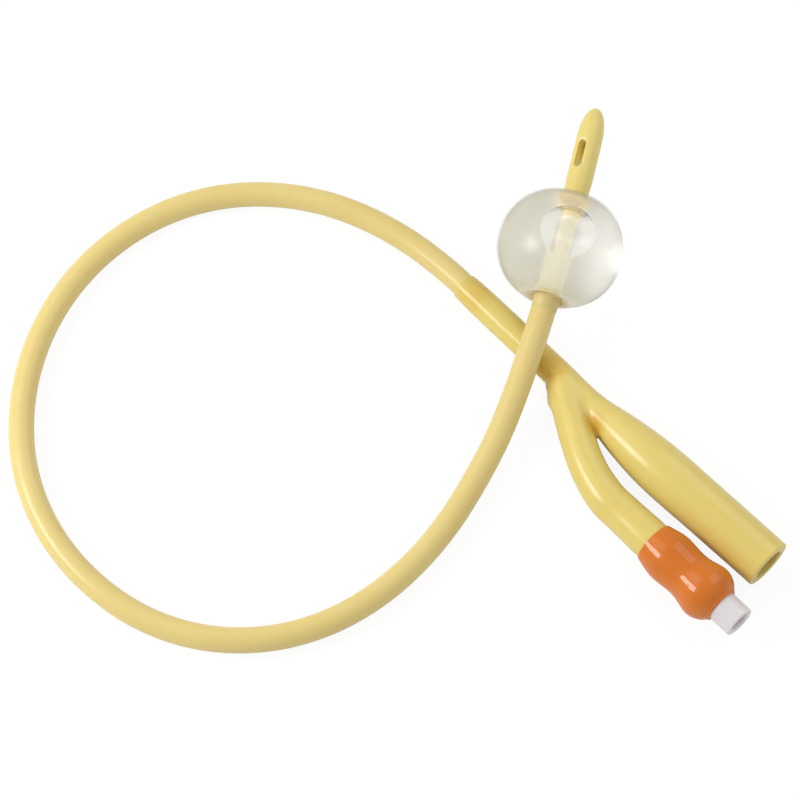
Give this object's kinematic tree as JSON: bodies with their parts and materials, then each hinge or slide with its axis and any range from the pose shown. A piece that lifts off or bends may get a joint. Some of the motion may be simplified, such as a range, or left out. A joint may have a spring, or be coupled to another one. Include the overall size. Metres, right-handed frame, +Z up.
{
  "type": "foley urinary catheter",
  "caption": "Latex bladder catheter with a filled retention balloon, a Y-shaped funnel and a spring-loaded luer check valve, its tube lying in an open loop.",
  "frame": {"origin": "centre of the outline on the plane that the catheter lies on", "axes": "+Z up from that plane; +X along the longest extent, from the loop of the tube towards the funnel's mouth; +Y towards the side of the rounded tip"},
  "size_m": [0.1607, 0.1167, 0.027],
  "materials": {
    "yellow_latex": "satin",
    "clear_rubber": "gloss",
    "water": "polished",
    "orange_rubber": "gloss",
    "white_plastic": "satin",
    "grey_plastic": "satin",
    "black_rubber": "matte",
    "spring_steel": "satin"
  },
  "bodies": {
    "catheter": {"catheter_shaft": "yellow_latex", "y_funnel": "yellow_latex", "balloon": "clear_rubber", "balloon_filling": "water", "valve_sleeve": "orange_rubber", "valve_body": "white_plastic", "valve_tail": "white_plastic", "valve_spring": "spring_steel"},
    "valve_plunger": {"valve_stem": "grey_plastic", "valve_seal": "black_rubber"}
  },
  "joints": [
    {"name": "valve_plunger_slide", "type": "slide", "parent": "catheter", "child": "valve_plunger", "axis": [-0.6791, 0.7316, -0.0593], "range_m": [0, 0.0015], "stiffness_N_per_m": 200, "springref_m": -0.001, "deforming": ["valve_spring"]}
  ]
}
